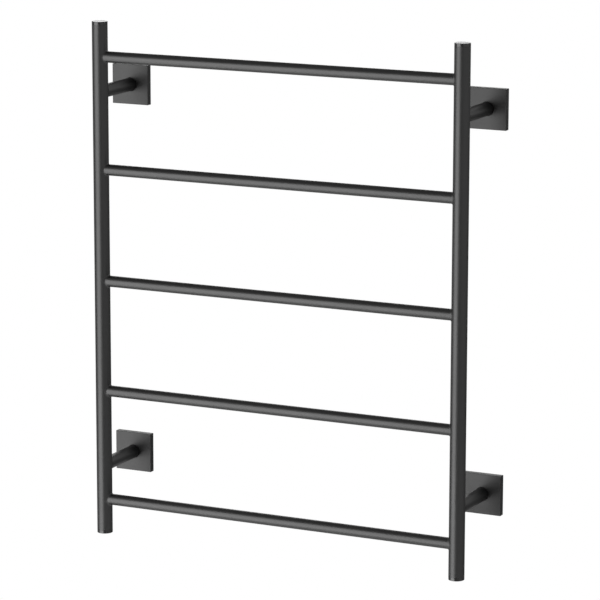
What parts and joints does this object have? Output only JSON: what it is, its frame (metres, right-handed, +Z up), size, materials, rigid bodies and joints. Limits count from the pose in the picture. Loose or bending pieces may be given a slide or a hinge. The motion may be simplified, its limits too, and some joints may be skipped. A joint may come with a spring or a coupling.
{
  "type": "towel warmer rack",
  "caption": "Wall-hung electric towel warmer: a ladder of round rungs between round posts, held off the wall by stand-offs with square sliding covers.",
  "frame": {"origin": "in the wall plane, midway between the four wall fixings", "axes": "+X to the right as seen from the room, +Y into the wall, +Z up"},
  "size_m": [0.607, 0.1071, 0.74],
  "materials": {
    "gunmetal_steel": "dark gunmetal vapour coating over satin-brushed stainless steel",
    "plain_steel": "plain stainless steel, as machined",
    "black_rubber": "matt black moulded rubber",
    "silicone_sheath": "smooth red-brown silicone rubber",
    "tinned_brass": "bright tin plating over brass"
  },
  "bodies": {
    "frame": {"left_post": "gunmetal_steel", "right_post": "gunmetal_steel", "rung_1": "gunmetal_steel", "rung_2": "gunmetal_steel", "rung_3": "gunmetal_steel", "rung_4": "gunmetal_steel", "rung_5": "gunmetal_steel", "upper_left_cap": "gunmetal_steel", "upper_left_stand_off": "gunmetal_steel", "upper_left_flange": "plain_steel", "upper_right_cap": "gunmetal_steel", "upper_right_stand_off": "gunmetal_steel", "upper_right_flange": "plain_steel", "lower_left_cap": "gunmetal_steel", "lower_left_stand_off": "gunmetal_steel", "lower_left_flange": "plain_steel", "lower_right_cap": "gunmetal_steel", "lower_right_stand_off": "gunmetal_steel", "lower_right_flange": "plain_steel", "grub_screws": "plain_steel", "heating_cable": "silicone_sheath", "joint_sleeve": "silicone_sheath", "crimp_ferrules": "tinned_brass", "thermal_fuse": "tinned_brass", "end_seal": "silicone_sheath", "lead_grommet": "black_rubber", "earth_washer": "plain_steel", "earth_screw": "plain_steel"},
    "upper_left_cover": {"upper_left_cover": "gunmetal_steel", "upper_left_cover_ring": "black_rubber"},
    "upper_right_cover": {"upper_right_cover": "gunmetal_steel", "upper_right_cover_ring": "black_rubber"},
    "lower_left_cover": {"lower_left_cover": "gunmetal_steel", "lower_left_cover_ring": "black_rubber"},
    "lower_right_cover": {"lower_right_cover": "gunmetal_steel", "lower_right_cover_ring": "black_rubber"}
  },
  "joints": [
    {"name": "upper_left_cover_slide", "type": "slide", "parent": "frame", "child": "upper_left_cover", "axis": [0, -1, 0], "range_m": [0, 0.07]},
    {"name": "upper_right_cover_slide", "type": "slide", "parent": "frame", "child": "upper_right_cover", "axis": [0, -1, 0], "range_m": [0, 0.07]},
    {"name": "lower_left_cover_slide", "type": "slide", "parent": "frame", "child": "lower_left_cover", "axis": [0, -1, 0], "range_m": [0, 0.07]},
    {"name": "lower_right_cover_slide", "type": "slide", "parent": "frame", "child": "lower_right_cover", "axis": [0, -1, 0], "range_m": [0, 0.07]}
  ]
}
